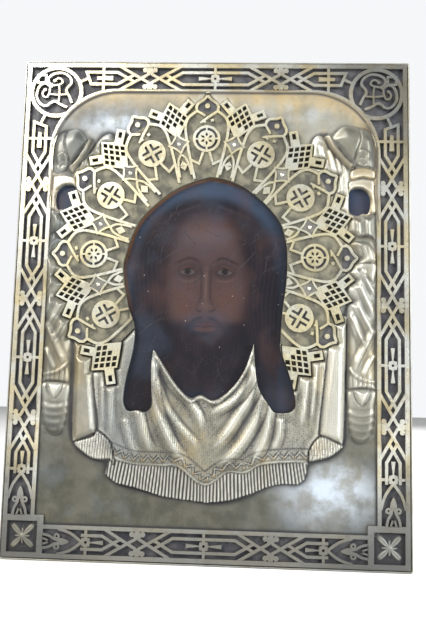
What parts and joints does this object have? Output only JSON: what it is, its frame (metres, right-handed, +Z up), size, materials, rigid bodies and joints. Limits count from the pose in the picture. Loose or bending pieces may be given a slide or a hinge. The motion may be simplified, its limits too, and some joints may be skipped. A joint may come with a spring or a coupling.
{
  "type": "religious icon with metal cover",
  "caption": "Upright painted panel with a stamped metal cover folded round its edges and a pierced halo plate pinned round the opening for the painting.",
  "frame": {"origin": "centre of the underside of the icon's bounding box, on the surface that it stands on", "axes": "+Z up the panel, -Y out of the painted front, +X to the right seen from the front"},
  "size_m": [0.178, 0.0336, 0.2255],
  "materials": {
    "board_wood": "aged lime wood, planed",
    "batten_wood": "aged oak, planed",
    "linen": "fine plain weave",
    "gesso": "smooth chalk ground",
    "paint": "darkened varnish",
    "cover_metal": "worn silver gilt, stamped",
    "halo_metal": "bright silver gilt, cast",
    "pin_metal": "polished heads",
    "tack_metal": "worn heads"
  },
  "bodies": {
    "root": {"panel_board": "board_wood", "upper_batten": "batten_wood", "lower_batten": "batten_wood", "linen_facing": "linen", "gesso_ground": "gesso", "paint_film": "paint", "cover_sheet": "cover_metal", "halo_plate": "halo_metal", "halo_pins": "pin_metal", "edge_tacks": "tack_metal"}
  },
  "joints": []
}
